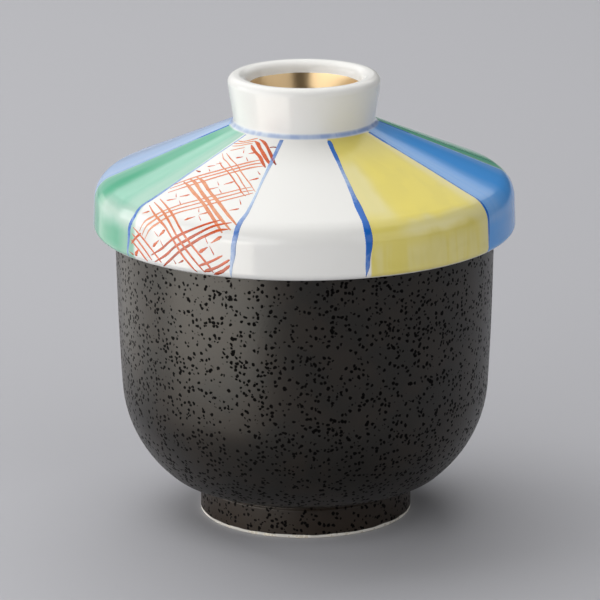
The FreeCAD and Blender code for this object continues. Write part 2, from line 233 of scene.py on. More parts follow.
def turned(name, stretches, materials, run_start=None):
    """Turn stretches of (material number, points) round the Z axis into one closed mesh.

    The mesh keeps two figures for its painting: turn, degrees from the front towards the right,
    and run, millimetres along the outline from the point run_start."""
    outline = [stretches[0][1][0]]
    slots = []
    for slot, points in stretches:
        outline.extend(points[1:])
        slots.extend([slot] * (len(points) - 1))
    runs = [0.0]
    for before, after in zip(outline, outline[1:]):
        runs.append(runs[-1] - (after - before).length)
    if run_start is not None:
        nearest = min(range(len(outline)), key=lambda index: (outline[index] - run_start).length)
        offset = runs[nearest]
        runs = [value - offset for value in runs]

    vertices = []
    rings = []
    for spot in outline:
        if spot.x < 1e-6:
            rings.append([len(vertices)] * (SIDES + 1))
            vertices.append((0.0, 0.0, spot.y * MM))
            continue
        ring = []
        for side in range(SIDES):
            angle = 2 * math.pi * side / SIDES - math.pi
            ring.append(len(vertices))
            vertices.append((math.sin(angle) * spot.x * MM, -math.cos(angle) * spot.x * MM, spot.y * MM))
        rings.append(ring + ring[:1])

    faces = []
    face_slots = []
    turns = []
    face_runs = []
    for level, slot in enumerate(slots):
        for side in range(SIDES):
            # The four corners, or three where two of them meet on the axis
            corners = {}
            for row, column in ((level, side), (level, side + 1), (level + 1, side + 1), (level + 1, side)):
                corners.setdefault(rings[row][column], (row, column))
            faces.append(list(corners))
            face_slots.append(slot)
            turns.extend(360.0 * column / SIDES - 180.0 for _, column in corners.values())
            face_runs.extend(runs[row] for row, _ in corners.values())

    mesh = bpy.data.meshes.new(name)
    mesh.from_pydata(vertices, [], faces)
    mesh.polygons.foreach_set("material_index", face_slots)
    for title, values in (("turn", turns), ("run", face_runs)):
        store = mesh.attributes.new(title, "FLOAT", "CORNER")
        store.data.foreach_set("value", values)
    return finished(name, mesh, materials)


def finished(name, mesh, materials):
    """Smooth a mesh, give it its materials and put it on the object's body."""
    mesh.shade_smooth()
    mesh.update()
    piece = bpy.data.objects.new(name, mesh)
    bpy.context.scene.collection.objects.link(piece)
    for material in materials:
        mesh.materials.append(material)
    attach(piece, "root")
    return piece


def cup_stretches(settings):
    """Outline of the cup from under its foot, up the outside and down into the bowl."""
    rim_round = settings.rim_round / MM
    groove_round = settings.groove_round / MM
    recess, _ = rounded([
        (0, RECESS_EDGE[1]), RECESS_EDGE, (RECESS_EDGE[0], settings.foot_inner_round / MM + 0.4),
    ])
    foot, _ = rounded([
        recess[-1], (RECESS_EDGE[0], 0, settings.foot_inner_round / MM),
        (FOOT_RADIUS, 0, settings.foot_outer_round / MM), (FOOT_RADIUS, FOOT_RIDGE, groove_round),
        (*GROOVE, groove_round), (*BODY_START, groove_round),
        (BODY_START[0] + 2 * math.cos(UNDER_SLOPE), BODY_START[1] + 2 * math.sin(UNDER_SLOPE)),
    ])

    # The underside's line, a blend that touches it, the belly's arc and the wall's long arc
    blend = settings.base_blend / MM
    along = Vector((math.cos(UNDER_SLOPE), math.sin(UNDER_SLOPE)))
    across = Vector((-along.y, along.x))
    start = Vector(BODY_START)
    offset = start + across * blend - BELLY_CENTRE
    half = offset.dot(along)
    travel = -half + math.sqrt(half ** 2 - offset.length_squared + (BELLY_RADIUS - blend) ** 2)
    blend_centre = start + across * blend + along * travel
    blend_start = start + along * travel
    blend_end = BELLY_CENTRE + (blend_centre - BELLY_CENTRE).normalized() * BELLY_RADIUS
    wall_centre = Vector((RIM_RADIUS - WALL_BOW, RIM_HEIGHT))
    drop = RIM_HEIGHT - BELLY_TOP
    wall_start = wall_centre + Vector((math.sqrt(WALL_BOW ** 2 - drop ** 2), -drop))
    rim_start = Vector((RIM_RADIUS, RIM_HEIGHT - 3))
    body = [foot[-1]] + curved(blend_centre, blend, blend_start, blend_end, BLEND_PIECES)
    body += curved(BELLY_CENTRE, BELLY_RADIUS, blend_end, wall_start, BELLY_PIECES)[1:]
    body += curved(wall_centre, WALL_BOW, wall_start, rim_start, WALL_PIECES)[1:]
    rim, _ = rounded([
        rim_start, (RIM_RADIUS, RIM_HEIGHT, rim_round), (BORE_RADIUS, RIM_HEIGHT, rim_round),
        (BORE_RADIUS, RIM_HEIGHT - rim_round - 0.2),
    ])
    inside, _ = rounded([rim[-1], BOWL_TOP, BOWL_BEND, FLOOR_EDGE, (0, FLOOR_EDGE[1])])
    return [(1, filled(recess)), (0, filled(foot)), (0, filled(body)), (0, filled(rim)), (1, filled(inside))]


def lid_stretches(settings):
    """Outline of the lid from its ceiling down, round its edge and up into the knob's hollow."""
    ceiling, _ = rounded([
        (0, CEILING_EDGE[1]), CEILING_EDGE, SEAT_EDGE, SEAT_CORNER, (SEAT_CORNER[0], LID_BOTTOM + 2),
    ])
    rise = (NECK[1] + (NECK[0] - LID_RADIUS) * math.tan(CONE_SLOPE)
            - LID_BOTTOM * math.tan(SKIRT_LEAN) * math.tan(CONE_SLOPE))
    shoulder_height = rise / (1 - math.tan(SKIRT_LEAN) * math.tan(CONE_SLOPE))
    shoulder_radius = LID_RADIUS - (shoulder_height - LID_BOTTOM) * math.tan(SKIRT_LEAN)
    outside, middles = rounded([
        ceiling[-1], (SEAT_CORNER[0], LID_BOTTOM, settings.skirt_inner_round / MM),
        (LID_RADIUS, LID_BOTTOM, settings.skirt_outer_round / MM),
        (shoulder_radius, shoulder_height, settings.shoulder_round / MM),
        (*NECK, settings.neck_round / MM), (LIP_RADIUS, LID_TOP, settings.lip_outer_round / MM),
        (HOLLOW_TOP_RADIUS, LID_TOP, settings.lip_inner_round / MM), HOLLOW_FLOOR,
    ], LID_ROUND_STEP)
    lip_end = outside[-2]
    hollow, _ = rounded([lip_end, HOLLOW_FLOOR, (0, HOLLOW_FLOOR[1])])
    neck_middle = outside[middles[4]]
    stretches = [(1, filled(ceiling)), (0, filled(outside[:-1])), (2, filled(hollow))]
    return stretches, neck_middle


class LidFace:
    """The lid's outer face as a sheet to paint on: turn in degrees, run in millimetres from the neck."""

    def __init__(self, stretches, neck_middle):
        points = stretches[1][1]
        nearest = min(range(len(points)), key=lambda index: (points[index] - neck_middle).length)
        self.stations = [(0.0, points[nearest])]
        for index in range(nearest - 1, -1, -1):
            step = (points[index] - points[index + 1]).length
            self.stations.append((self.stations[-1][0] + step, points[index]))

    def at(self, run):
        """Outline point and outward normal at a run."""
        for (low, before), (high, after) in zip(self.stations, self.stations[1:]):
            if run <= high:
                break
        part = min(1.0, max(0.0, (run - low) / (high - low)))
        down = (after - before).normalized()
        return before.lerp(after, part), Vector((-down.y, down.x))

    def place(self, turn, run):
        """A point on the face, in metres, and the normal there."""
        spot, normal = self.at(run)
        angle = math.radians(turn)
        across = Vector((math.sin(angle), -math.cos(angle), 0.0))
        point = across * spot.x * MM + Vector((0, 0, spot.y * MM))
        return point, across * normal.x + Vector((0, 0, normal.y))


class Enamel:
    """Thin brushed enamel on the lid: closed strips with a soft back, gathered in one mesh."""
    # Place of a strip's four edges: share of the half width, and millimetres over the glaze
    SECTION = ((-1.0, -0.03), (-0.55, 0.03), (0.55, 0.03), (1.0, -0.03))

    def __init__(self, face):
        self.face = face
        self.vertices = []
        self.faces = []
        self.loads = []

    def stroke(self, course):
        """Add one stroke along stations of (turn, run, half width in millimetres, load of the brush)."""
        centres = [self.face.place(turn, run) for turn, run, _, _ in course]
        base = len(self.vertices)
        lanes = len(self.SECTION)
        for index, (_, _, half, load) in enumerate(course):
            point, normal = centres[index]
            before = centres[max(0, index - 1)][0]
            after = centres[min(len(course) - 1, index + 1)][0]
            side = (after - before).cross(normal).normalized()
            reach = half * MM
            for shift, lift in self.SECTION:
                self.vertices.append(point + side * reach * shift + normal * lift * MM)
                self.loads.append(load)
        last = base + (len(course) - 1) * lanes
        for low in range(base, last, lanes):
            for lane in range(lanes):
                other = (lane + 1) % lanes
                self.faces.append((low + lane, low + other, low + lanes + other, low + lanes + lane))
        self.faces.append((base + 3, base + 2, base + 1, base))
        self.faces.append((last, last + 1, last + 2, last + 3))

    def piece(self, name, material):
        """The finished mesh of all strokes."""
        mesh = bpy.data.meshes.new(name)
        mesh.from_pydata(self.vertices, [], self.faces)
        store = mesh.attributes.new("load", "FLOAT", "POINT")
        store.data.foreach_set("value", self.loads)
        return finished(name, mesh, [material])


def eased(keys, value):
    """Smooth value between (place, figures...) keys."""
    if value <= keys[0][0]:
        return keys[0][1:]
    for low, high in zip(keys, keys[1:]):
        if value <= high[0]:
            part = (value - low[0]) / (high[0] - low[0])
            part = part * part * (3 - 2 * part)
            return tuple(a + (b - a) * part for a, b in zip(low[1:], high[1:]))
    return keys[-1][1:]


# Strokes are drawn this many times wider than their tables say, and waver by waves of this length in radians
LINE_SCALE = 1.2
STROKE_SCALE = 1.25
WAVE = 6.28

# Each boundary line from the neck to the edge: run, turn, half width, load of the brush
LINE_STEP = 0.5
HALF_TURN = 180.0
LINES = {
    "blue to green": [
        (1, -84.6, 0.45, 1), (6, -85.2, 0.4, 0.9), (9, -85.5, 0.22, 0.5), (30, -85.8, 0.22, 0.4),
        (38.5, -86, 0.2, 0.3), (39.6, -86, 0.05, 0.3)],
    "green to lattice": [
        (1, -50, 0.2, 0.45), (10, -51, 0.22, 0.3), (17.7, -51.8, 0.32, 0.4),
        (25, -51.8, 0.36, 0.6), (30, -52.6, 0.42, 0.75), (34, -54.4, 0.46, 0.8),
        (38.5, -55, 0.28, 0.6), (39.6, -55, 0.05, 0.5)],
    "lattice to white": [
        (1, -17.2, 0.4, 0.6), (8, -17.2, 0.42, 0.55), (12, -17.2, 0.32, 0.25),
        (18, -17.2, 0.26, 0.1), (24, -17.4, 0.36, 0.3), (30, -18.4, 0.6, 0.65),
        (34, -18.9, 0.5, 0.4), (38, -19.6, 0.3, 0.25), (39.6, -19.8, 0.05, 0.2)],
    "white to yellow": [
        (1.3, 18.3, 0.3, 1), (2, 18.1, 0.53, 1), (5, 17.8, 0.45, 0.95), (14, 17.1, 0.36, 0.45),
        (19, 17, 0.5, 0.6), (24, 17, 0.7, 1), (31.5, 16.9, 0.76, 1), (36.5, 16.4, 0.5, 0.75),
        (39, 16.1, 0.1, 0.7)],
    "yellow to blue": [
        (1, 58, 0.4, 0.95), (4, 58, 0.36, 0.95), (8, 58.1, 0.22, 0.7), (26, 58.3, 0.24, 0.7),
        (31, 58.5, 0.38, 0.95), (34, 58.5, 0.34, 0.9), (38.5, 58.4, 0.2, 0.6), (39.6, 58.4, 0.05, 0.5)],
}


def blue_lines(face):
    """The five hand-drawn lines between the panels, on both halves of the lid."""
    chance = random.Random(11)
    enamel = Enamel(face)
    for half in (0.0, HALF_TURN):
        for keys in LINES.values():
            first = keys[0][0]
            last = keys[-1][0]
            steps = int((last - first) / LINE_STEP)
            waver = chance.uniform(0, WAVE)
            course = []
            for index in range(steps + 1):
                run = first + (last - first) * index / steps
                turn, width, load = eased(keys, run)
                turn += 0.12 * math.sin(run / 3.1 + waver) + chance.uniform(-0.02, 0.02)
                width *= LINE_SCALE + 0.06 * math.sin(run / 1.3 + waver)
                course.append((turn + half, run, width, load))
            enamel.stroke(course)
    return enamel


# The red lattice, stroke by stroke: half width, load at both ends, then points of (turn, run).
# Strokes that fall to the right come in threes, from the neck down, and then those that rise
FALLING = (
    (0.33, 0.8, 1.5, (-34.5, 1.5), (-30, 2.1), (-26.5, 3), (-23, 4.3), (-19.5, 6), (-16.5, 7.9),
     (-14.2, 9.2)),
    (0.38, 0.8, 0.95, (-36.8, 2.3), (-33, 2.9), (-29, 4.2), (-25.5, 5.4), (-22, 6.9), (-19, 8.3),
     (-17.8, 9)),
    (0.34, 0.85, 1, (-36.3, 3.7), (-32.5, 4.9), (-28.5, 6), (-24.8, 7.1), (-21.5, 8.8), (-18.8, 10.3)),
    (0.14, 0.4, 0.3, (-46.5, 7.6), (-43, 8.3), (-40, 9), (-36, 9.9), (-32.4, 10.9), (-28, 12.8),
     (-24, 14.6), (-21, 16.2), (-18, 18.2)),
    (0.13, 0.35, 0.35, (-48.5, 8), (-44, 9.4), (-40.3, 10.1), (-36, 11.3), (-32, 12.6), (-28.5, 13.9),
     (-25, 15.8), (-22, 17.5), (-19.6, 19.2)),
    (0.16, 0.6, 0.6, (-44.2, 10.5), (-40.3, 11.7), (-35.3, 12.9), (-31, 14.4), (-27.1, 16.2), (-24.9, 17.3),
     (-23.1, 18.6), (-20.6, 19.8)),
    (0.36, 0.3, 0.32, (-46.8, 16.3), (-42, 17), (-38, 18.4), (-34, 20.1), (-30, 21.8), (-26, 24),
     (-22, 26.6), (-18.9, 28.7)),
    (0.38, 0.28, 0.35, (-47.8, 17.4), (-44, 18), (-40, 19.4), (-36, 21), (-32, 22.8), (-28, 25.1),
     (-24, 27.6), (-20.2, 29.9)),
    (0.36, 0.28, 0.45, (-49, 18.6), (-45, 19.4), (-40, 21), (-36, 22.4), (-32, 24.2), (-28, 26.6),
     (-24.5, 29), (-22.4, 30.6)),
    (0.24, 0.4, 1.15, (-49.3, 25), (-45, 26.2), (-41, 27.7), (-38, 29.1), (-35, 31), (-32, 33.1),
     (-29, 35.2), (-26, 37.3), (-24.6, 38.6)),
    (0.24, 0.4, 1.15, (-49.8, 26.3), (-45, 27.6), (-42, 28.7), (-39, 30.2), (-36, 32.3), (-33, 34.7),
     (-30, 36.8), (-27, 38.8)),
    (0.24, 0.45, 1.2, (-50, 27.5), (-46, 29), (-42, 30.4), (-39.5, 31.5), (-36.5, 33.8), (-34, 36),
     (-31, 38), (-29.5, 39)),
    (0.21, 0.6, 0.95, (-52.5, 32.8), (-49, 34.1), (-46, 35.5), (-43, 37.1), (-41, 38.3)),
    (0.21, 0.6, 0.95, (-53, 34.1), (-50, 35.3), (-47, 36.8), (-44.5, 38.3)),
    (0.21, 0.6, 0.95, (-53.5, 35.4), (-50.5, 36.6), (-48, 37.8), (-46.3, 38.8)),
)
RISING = (
    (0.2, 0.25, 0.45, (-49, 3.3), (-45, 3.2), (-42, 2.5), (-38.5, 1.7), (-36, 1.4)),
    (0.18, 0.25, 0.45, (-50, 4.4), (-46, 4), (-42, 3.3), (-38.5, 2.6), (-36, 2.3)),
    (0.18, 0.25, 0.45, (-48.5, 5.2), (-44, 4.6), (-40, 3.7), (-36.5, 3.1)),
    (0.16, 0.25, 0.4, (-46, 6.6), (-42, 5.5), (-39, 4.8)),
    (0.26, 0.42, 0.42, (-51.5, 20.3), (-49, 18), (-45.5, 15.7), (-41, 13.6), (-36, 11.5), (-31, 9.8),
     (-27, 8.7), (-22.5, 7.8)),
    (0.26, 0.42, 0.42, (-50.8, 21.5), (-47.5, 18.8), (-44, 16.5), (-40, 14.6), (-35, 12.5), (-30, 10.7),
     (-25, 9.4), (-20.5, 8.8)),
    (0.26, 0.42, 0.42, (-49.5, 22.7), (-46, 20), (-42, 17.5), (-38, 15.3), (-33, 13.1), (-28, 11.4),
     (-24, 10.4), (-19.5, 9.8)),
    (0.22, 0.35, 0.4, (-49.7, 33.2), (-48, 31), (-45.7, 29.6), (-43, 27.6), (-40, 25.1), (-36, 22.9),
     (-32, 20.9), (-28, 19.3), (-24, 17.8), (-20.3, 16.8)),
    (0.22, 0.35, 0.4, (-48.6, 33.9), (-47, 31.8), (-44.6, 30.2), (-41.5, 27.9), (-38, 25.6), (-34, 23.4),
     (-30, 21.6), (-26, 19.9), (-22, 18.4), (-18.8, 17.7)),
    (0.22, 0.35, 0.4, (-47.4, 34.4), (-45.5, 32.2), (-43, 30.7), (-40.7, 29.1), (-37, 26.8), (-33, 24.7),
     (-29, 22.7), (-25, 21), (-21, 19.5), (-18.6, 18.6)),
    (0.25, 1.1, 0.8, (-44.8, 37.3), (-41, 35.5), (-38, 33.6), (-35, 32.1), (-31, 30.5), (-27, 28.9),
     (-23.5, 27.7)),
    (0.27, 1.15, 0.8, (-43.5, 38.5), (-39.5, 36.6), (-36.5, 34.6), (-33, 33), (-29, 31.1), (-25, 29.3),
     (-20.5, 28.2)),
    (0.28, 1.2, 0.8, (-40.6, 39.1), (-38, 37.4), (-35, 35.4), (-31.5, 33.6), (-28, 31.9), (-24, 30.3),
     (-20.8, 29.7)),
    (0.24, 0.9, 0.8, (-53.2, 36.2), (-51, 34.6), (-49, 33.5)),
    (0.26, 1.1, 0.7, (-29, 37.6), (-25.5, 36.5), (-22, 35)),
    (0.3, 1.15, 0.8, (-27.3, 38.6), (-23.5, 37.4), (-20, 35.7)),
    (0.3, 1.2, 0.9, (-24.6, 39.1), (-22, 38.1), (-19.9, 36.8)),
    (0.2, 1.3, 1.5, (-22.8, 3.8), (-20.5, 3.5), (-18.3, 3.6)),
)
# Touches of the brush that make a cross in each diamond: half width, load, thin end, thick end
DABS = (
    (0.13, 0.9, (-38.2, 5.4), (-36.2, 6.6)), (0.36, 1, (-34.4, 7.7), (-37.8, 8.4)),
    (0.38, 0.75, (-33, 6.5), (-29.6, 5.8)), (0.14, 0.8, (-32.6, 7.6), (-29.6, 8.9)),
    (0.3, 0.6, (-44.2, 11.8), (-47.3, 12.7)), (0.24, 0.5, (-44.6, 11.4), (-42.2, 10.7)),
    (0.14, 0.9, (-45.3, 13.2), (-43.3, 13.9)), (0.36, 1.1, (-50.4, 14.6), (-47.4, 14.7)),
    (0.13, 0.9, (-35.4, 16.4), (-33.4, 17.5)), (0.36, 0.7, (-31.8, 17), (-28.7, 15.7)),
    (0.34, 0.6, (-33, 18.1), (-36.6, 19.5)), (0.14, 0.8, (-32.2, 18.5), (-30, 19.7)),
    (0.13, 0.9, (-46.2, 22.3), (-44.4, 23.4)), (0.4, 0.6, (-43.5, 23), (-40.8, 21.8)),
    (0.34, 0.6, (-43.8, 23.8), (-46.4, 24.9)), (0.13, 0.9, (-42.2, 24), (-40.2, 25.1)),
    (0.13, 0.8, (-33.2, 25.2), (-32, 26.5)), (0.34, 0.6, (-31.4, 27.1), (-29.1, 26)),
    (0.34, 0.6, (-32.1, 27.8), (-34.8, 29)), (0.13, 0.8, (-31.4, 27.3), (-29.7, 28.6)),
    (0.16, 1, (-21.6, 11.6), (-19.5, 12.7)), (0.38, 0.8, (-22.8, 14.8), (-19.4, 13.8)),
    (0.14, 0.9, (-22.1, 20.9), (-20.6, 22.6)), (0.34, 0.75, (-23.2, 24.7), (-20.5, 23.9)),
    (0.3, 0.5, (-50.2, 29.6), (-48.1, 28.8)), (0.14, 0.8, (-43.9, 32.4), (-42.3, 33.3)),
    (0.42, 0.65, (-42.1, 33.2), (-40.1, 31.7)), (0.42, 0.75, (-42.1, 34), (-44.2, 35.5)),
    (0.16, 0.8, (-41.7, 33.8), (-40.1, 35.4)), (0.14, 0.9, (-27.3, 31.5), (-26.3, 33)),
    (0.42, 0.6, (-25.4, 32.8), (-22.4, 31.3)), (0.48, 0.8, (-26.3, 33.7), (-28.8, 34.9)),
    (0.18, 0.85, (-25.8, 33.4), (-24.4, 35.1)), (0.16, 1.3, (-36.9, 37.2), (-36, 38)),
    (0.28, 1.2, (-35.3, 37.7), (-33.6, 37)), (0.6, 0.85, (-49.8, 36.8), (-51.4, 38.3)),
    (0.2, 1.2, (-54, 37.9), (-52, 38.3)),
)
# A dab's shape from its thin end: part of its length, share of its width
DAB_SHAPE = ((0.0, 0.2), (0.35, 0.6), (0.75, 1.0), (1.0, 0.45))


def through(points, pieces=5):
    """A smooth path through given points."""
    path = []
    for index in range(len(points) - 1):
        a = Vector(points[max(0, index - 1)])
        b = Vector(points[index])
        c = Vector(points[index + 1])
        d = Vector(points[min(len(points) - 1, index + 2)])
        for piece in range(pieces):
            t = piece / pieces
            curve = (c - a) * t + (a * 2 - b * 5 + c * 4 - d) * t ** 2 + (b * 3 - a - c * 3 + d) * t ** 3
            path.append(b + curve / 2)
    path.append(Vector(points[-1]))
    return path


def red_lattice(face):
    """Lattice and the four-dab crosses in its diamonds, on both halves of the lid."""
    chance = random.Random(5)
    enamel = Enamel(face)
    for half in (0.0, HALF_TURN):
        for width, first, last, *points in FALLING + RISING:
            path = through(points)
            waver = chance.uniform(0, WAVE)
            course = []
            for index, spot in enumerate(path):
                part = index / (len(path) - 1)
                end = min(1.0, 0.35 + 4 * min(part, 1 - part))
                wave = 1 + 0.08 * math.sin(index * 0.5 + waver) + chance.uniform(-0.02, 0.02)
                load = first + (last - first) * part ** 2 + chance.uniform(-0.08, 0.08)
                course.append((spot.x + half, spot.y, STROKE_SCALE * width * end * wave, load))
            enamel.stroke(course)
        for width, load, thin, thick in DABS:
            course = []
            for part, share in DAB_SHAPE:
                spot = Vector(thin).lerp(Vector(thick), part)
                course.append((spot.x + half, spot.y, width * share, load))
            enamel.stroke(course)
    return enamel


def add(tree, kind, settings=None, links=None):
    """Add one node, set its properties and inputs, and link its inputs."""
    node = tree.nodes.new(kind)
    for key, value in (settings or {}).items():
        if isinstance(key, int) or key in node.inputs:
            node.inputs[key].default_value = value
        else:
            setattr(node, key, value)
    for key, source in (links or {}).items():
        tree.links.new(source, node.inputs[key])
    return node


def new_material(name):
    """An empty node material and its node tree."""
    material = bpy.data.materials.new(name)
    material.use_nodes = True
    material.node_tree.nodes.clear()
    return material, material.node_tree


def surface(tree, settings, links=None):
    """The material's surface: one principled shader."""
    shader = add(tree, "ShaderNodeBsdfPrincipled", settings, links)
    add(tree, "ShaderNodeOutputMaterial", None, {"Surface": shader.outputs[0]})


def plain(tree, colour):
    """One even colour to start from."""
    base = add(tree, "ShaderNodeRGB")
    base.outputs[0].default_value = colour
    return base.outputs[0]


def reckon(tree, operation, *inputs):
    """One step of arithmetic on sockets and plain numbers."""
    numbers = {index: value for index, value in enumerate(inputs) if isinstance(value, (int, float))}
    sockets = {index: value for index, value in enumerate(inputs) if index not in numbers}
    return add(tree, "ShaderNodeMath", {"operation": operation, **numbers}, sockets).outputs[0]


def ramped(tree, value, low, high, start=0.0, end=1.0, kind="LINEAR"):
    """A value that goes from start to end while another one goes from low to high."""
    settings = {"interpolation_type": kind, 1: low, 2: high, 3: start, 4: end}
    return add(tree, "ShaderNodeMapRange", settings, {0: value}).outputs[0]


def on_object(tree):
    """Place on the object in metres, so that every pattern has its real size."""
    return add(tree, "ShaderNodeTexCoord").outputs["Object"]


def height_of(tree, where):
    """The height of a place."""
    return add(tree, "ShaderNodeSeparateXYZ", None, {0: where}).outputs[2]


def noise(tree, where, size, detail=2.0, output="Fac"):
    """Soft noise with lumps about this many millimetres wide."""
    settings = {"Scale": 1 / (size * MM), "Detail": detail}
    return add(tree, "ShaderNodeTexNoise", settings, {"Vector": where}).outputs[output]


def relief(tree, pattern, strength, depth):
    """Bumps from a pattern, this many millimetres deep."""
    settings = {"Strength": strength, "Distance": depth * MM}
    return add(tree, "ShaderNodeBump", settings, {"Height": pattern}).outputs[0]


def band(tree, value, low, high, soft):
    """A mask that is 1 between two values, with soft edges."""
    rise = ramped(tree, value, low - soft, low + soft, kind="SMOOTHSTEP")
    fall = ramped(tree, value, high - soft, high + soft, 1.0, 0.0, "SMOOTHSTEP")
    return reckon(tree, "MULTIPLY", rise, fall)


def layer(tree, under, colour, *masks, strength=1.0):
    """Lay a colour over what is there, where all the masks are 1."""
    amount = strength
    for mask in masks:
        amount = reckon(tree, "MULTIPLY", mask, amount)
    return add(tree, "ShaderNodeMix", {"data_type": "RGBA", 7: colour}, {0: amount, 6: under}).outputs[2]


def pale_paper(colour):
    """Matt paper with no sheen at all, so that no lamp leaves a mark on the floor."""
    material, tree = new_material("pale_paper")
    surface(tree, {"Base Color": colour, "Roughness": 0.9, "Specular IOR Level": 0.0})
    return material


def iron_glaze(settings):
    """Iron-saturated stoneware glaze, dipped and fired to a satin brown-black.

    Iron comes out of it as matt black spots, so the sheen breaks up into fine speckles. On the foot the
    glaze is thin and browner, and it stops in a wavy line above the bare white clay."""
    material, tree = new_material("iron_glaze")
    where = on_object(tree)
    height = height_of(tree, where)

    # Spots: one per cell, each with its own size, bent out of round and gathered in drifts
    bent = add(tree, "ShaderNodeVectorMath", {"operation": "MULTIPLY_ADD", 1: (0.9 * MM,) * 3},
               {0: noise(tree, where, 1.3, output="Color"), 2: where}).outputs[0]
    cells = add(tree, "ShaderNodeTexVoronoi", {"Scale": 1 / settings.speckle}, {"Vector": bent})
    number = add(tree, "ShaderNodeSeparateColor", None, {0: cells.outputs["Color"]}).outputs[0]
    crowd = ramped(tree, noise(tree, where, 3.2), 0.3, 0.7, -0.42, 0.42)
    size = ramped(tree, reckon(tree, "ADD", number, crowd), 0.33, 0.56, 0.0, 0.43)
    dark = ramped(tree, reckon(tree, "SUBTRACT", size, cells.outputs["Distance"]), -0.05, 0.06)

    # Cloudy brown in the black, the thin glaze of the foot and the bare clay under its wavy edge
    cloudy = band(tree, noise(tree, where, 9.0, 3.0), 0.5, 2.0, 0.12)
    on_foot = band(tree, height, -1.0, THIN_GLAZE_TOP * MM, 0.5 * MM)
    edge = reckon(tree, "MULTIPLY_ADD", noise(tree, where, 4.0), 0.5 * MM, settings.bare_band - 0.25 * MM)
    bare = ramped(tree, reckon(tree, "SUBTRACT", height, edge), -0.05 * MM, 0.08 * MM, 1.0, 0.0)

    colour = layer(tree, plain(tree, settings.glaze), settings.thin_glaze, cloudy, strength=0.35)
    colour = layer(tree, colour, settings.thin_glaze, on_foot, strength=0.8)
    colour = layer(tree, colour, settings.spot, dark)
    colour = layer(tree, colour, settings.clay, bare)
    satin = ramped(tree, dark, 0.0, 1.0, 0.35, 0.7)
    duller = reckon(tree, "MULTIPLY_ADD", on_foot, 0.05, satin)
    pits = reckon(tree, "MULTIPLY_ADD", dark, -0.8, noise(tree, where, 0.5))
    surface(tree, {"IOR": 1.46},
            {"Base Color": colour, "Metallic": reckon(tree, "MULTIPLY", dark, 0.95),
             "Roughness": reckon(tree, "MAXIMUM", duller, bare), "Normal": relief(tree, pits, 0.5, 0.03)})
    return material


def clear_glaze(colour):
    """White porcelain under a clear gloss glaze, dipped: clean white with faint waves in the shine."""
    material, tree = new_material("clear_glazed_porcelain")
    tint = noise(tree, on_object(tree), 14.0)
    greyer = layer(tree, plain(tree, colour), linear("#e6e6e0"), tint, strength=0.4)
    surface(tree, {"IOR": 1.5, "Roughness": 0.1},
            {"Base Color": greyer, "Normal": relief(tree, tint, 0.2, 0.05)})
    return material


def brush_marks(tree, sheet, stretch, distortion):
    """Marks of a wet brush on the sheet of turns and runs, drawn out by a stretch for each."""
    drawn = add(tree, "ShaderNodeVectorMath", {"operation": "MULTIPLY", 1: (*stretch, 1.0)}, {0: sheet})
    marks = add(tree, "ShaderNodeTexNoise", {"Scale": 1.0, "Detail": 2.0, "Distortion": distortion},
                {"Vector": drawn.outputs[0]})
    return marks.outputs["Fac"]


